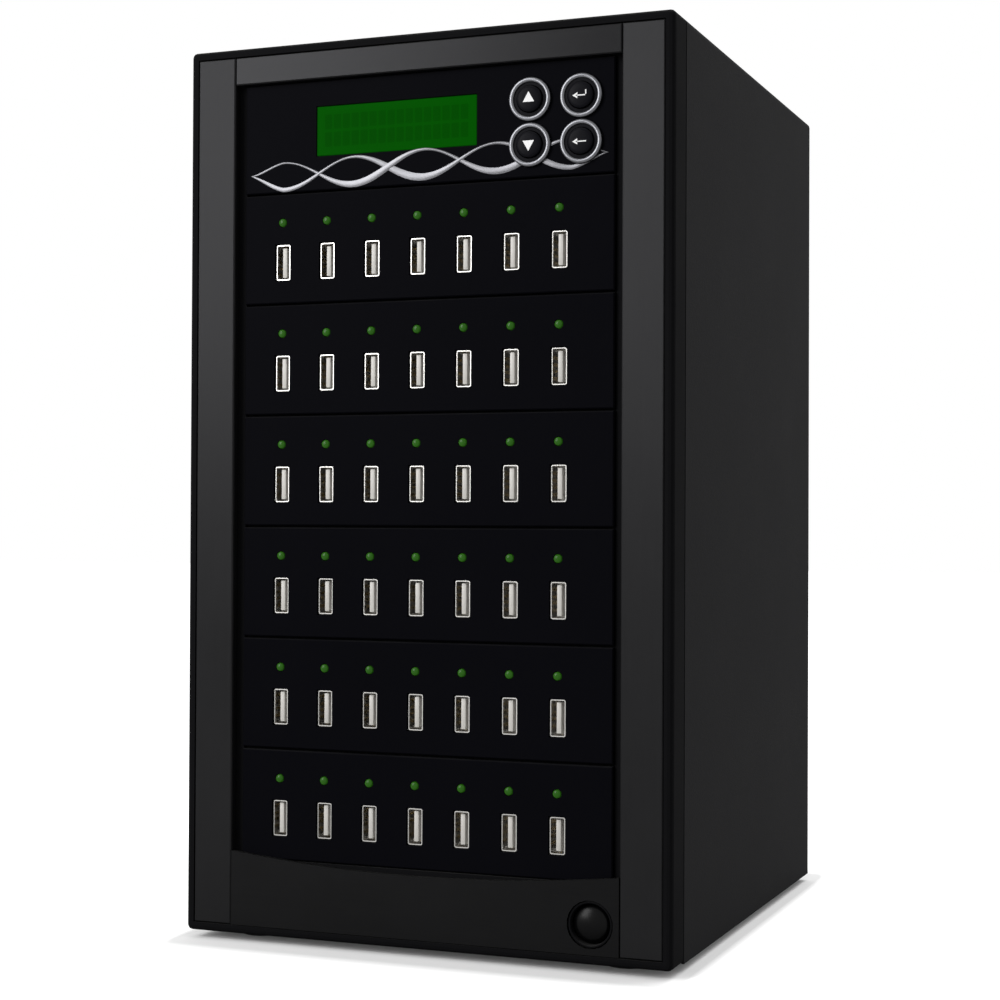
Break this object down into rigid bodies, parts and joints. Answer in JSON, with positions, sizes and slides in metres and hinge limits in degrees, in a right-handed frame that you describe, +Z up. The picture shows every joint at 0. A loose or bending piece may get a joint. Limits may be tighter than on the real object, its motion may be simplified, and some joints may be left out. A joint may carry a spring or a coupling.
{
  "type": "usb flash drive duplicator",
  "caption": "Black tower that copies USB flash drives: control panel with display and round keys over rows of upright USB sockets.",
  "frame": {"origin": "middle of the whole object's box, on the surface that its feet stand on", "axes": "+Z up, -Y out of the front with the sockets, +X to the right seen from the front"},
  "size_m": [0.19, 0.2162, 0.334],
  "materials": {
    "black_plastic": "fine matt moulding",
    "gloss_black": "polished",
    "brushed_black_metal": "brushed, black",
    "black_cover_paint": "fine powder coat",
    "panel_black": "satin",
    "zinc_steel": "zinc plated sheet",
    "nickel_plate": "nickel plated",
    "silver_ring": "turned, bright",
    "key_black": "satin",
    "black_rubber": "matt",
    "board_green": "solder mask",
    "green_window": "clear, lit green from behind",
    "display_frame": "dull black",
    "fan_black": "moulded"
  },
  "bodies": {
    "chassis": {"button_ring_back": "silver_ring", "button_ring_down": "silver_ring", "button_ring_enter": "silver_ring", "button_ring_up": "silver_ring", "case_fan_frame": "fan_black", "case_fan_guard": "nickel_plate", "chassis_base": "zinc_steel", "control_board": "board_green", "control_panel": "panel_black", "cover_thumbscrew_1": "nickel_plate", "cover_thumbscrew_2": "nickel_plate", "cover_thumbscrew_3": "nickel_plate", "cover_thumbscrew_4": "nickel_plate", "front_bezel": "black_plastic", "lcd_module": "display_frame", "lcd_window": "green_window", "left_cage_wall": "zinc_steel", "left_post_trim": "brushed_black_metal", "lower_fascia": "brushed_black_metal", "mains_inlet": "black_plastic", "power_switch": "black_plastic", "psu_case": "zinc_steel", "psu_fan_frame": "fan_black", "psu_fan_guard": "nickel_plate", "psu_screw_1": "nickel_plate", "psu_screw_2": "nickel_plate", "psu_screw_3": "nickel_plate", "psu_screw_4": "nickel_plate", "rear_panel": "zinc_steel", "right_cage_wall": "zinc_steel", "right_post_trim": "brushed_black_metal", "rocker_frame": "black_plastic", "rubber_foot_front_left": "black_rubber", "rubber_foot_front_right": "black_rubber", "rubber_foot_rear_left": "black_rubber", "rubber_foot_rear_right": "black_rubber", "top_rail_trim": "brushed_black_metal", "usb_panel_1": "panel_black", "usb_panel_2": "panel_black", "usb_panel_3": "panel_black", "usb_panel_4": "panel_black", "usb_panel_5": "panel_black", "usb_panel_6": "panel_black", "usb_port_board_1": "nickel_plate", "usb_port_board_2": "nickel_plate", "usb_port_board_3": "nickel_plate", "usb_port_board_4": "nickel_plate", "usb_port_board_5": "nickel_plate", "usb_port_board_6": "nickel_plate", "wrap_cover": "black_cover_paint"},
    "up_button": {"button_up": "key_black"},
    "down_button": {"button_down": "key_black"},
    "enter_button": {"button_enter": "key_black"},
    "back_button": {"button_back": "key_black"},
    "power_button": {"power_button": "gloss_black"},
    "rocker_switch": {"rocker_switch": "gloss_black"},
    "psu_fan_rotor": {"psu_fan_rotor": "fan_black"},
    "case_fan_rotor": {"case_fan_rotor": "fan_black"}
  },
  "joints": [
    {"name": "up_button_press", "type": "slide", "parent": "chassis", "child": "up_button", "axis": [0, 1, 0], "range_m": [0, 0.0008], "stiffness_N_per_m": 1500, "springref_m": -0.0005},
    {"name": "down_button_press", "type": "slide", "parent": "chassis", "child": "down_button", "axis": [0, 1, 0], "range_m": [0, 0.0008], "stiffness_N_per_m": 1500, "springref_m": -0.0005},
    {"name": "enter_button_press", "type": "slide", "parent": "chassis", "child": "enter_button", "axis": [0, 1, 0], "range_m": [0, 0.0008], "stiffness_N_per_m": 1500, "springref_m": -0.0005},
    {"name": "back_button_press", "type": "slide", "parent": "chassis", "child": "back_button", "axis": [0, 1, 0], "range_m": [0, 0.0008], "stiffness_N_per_m": 1500, "springref_m": -0.0005},
    {"name": "power_button_press", "type": "slide", "parent": "chassis", "child": "power_button", "axis": [0, 1, 0], "range_m": [0, 0.0025], "stiffness_N_per_m": 800, "springref_m": -0.001},
    {"name": "rocker_tilt", "type": "hinge", "parent": "chassis", "child": "rocker_switch", "pos_m": [-0.04399, 0.09875, 0.0603], "axis": [1, 0, 0], "range_deg": [-16, 0]},
    {"name": "psu_fan_spin", "type": "hinge", "parent": "chassis", "child": "psu_fan_rotor", "pos_m": [0.024, 0.09895, 0.0473], "axis": [0, 1, 0], "continuous": true},
    {"name": "case_fan_spin", "type": "hinge", "parent": "chassis", "child": "case_fan_rotor", "pos_m": [0, 0.10025, 0.24132], "axis": [0, 1, 0], "continuous": true}
  ]
}
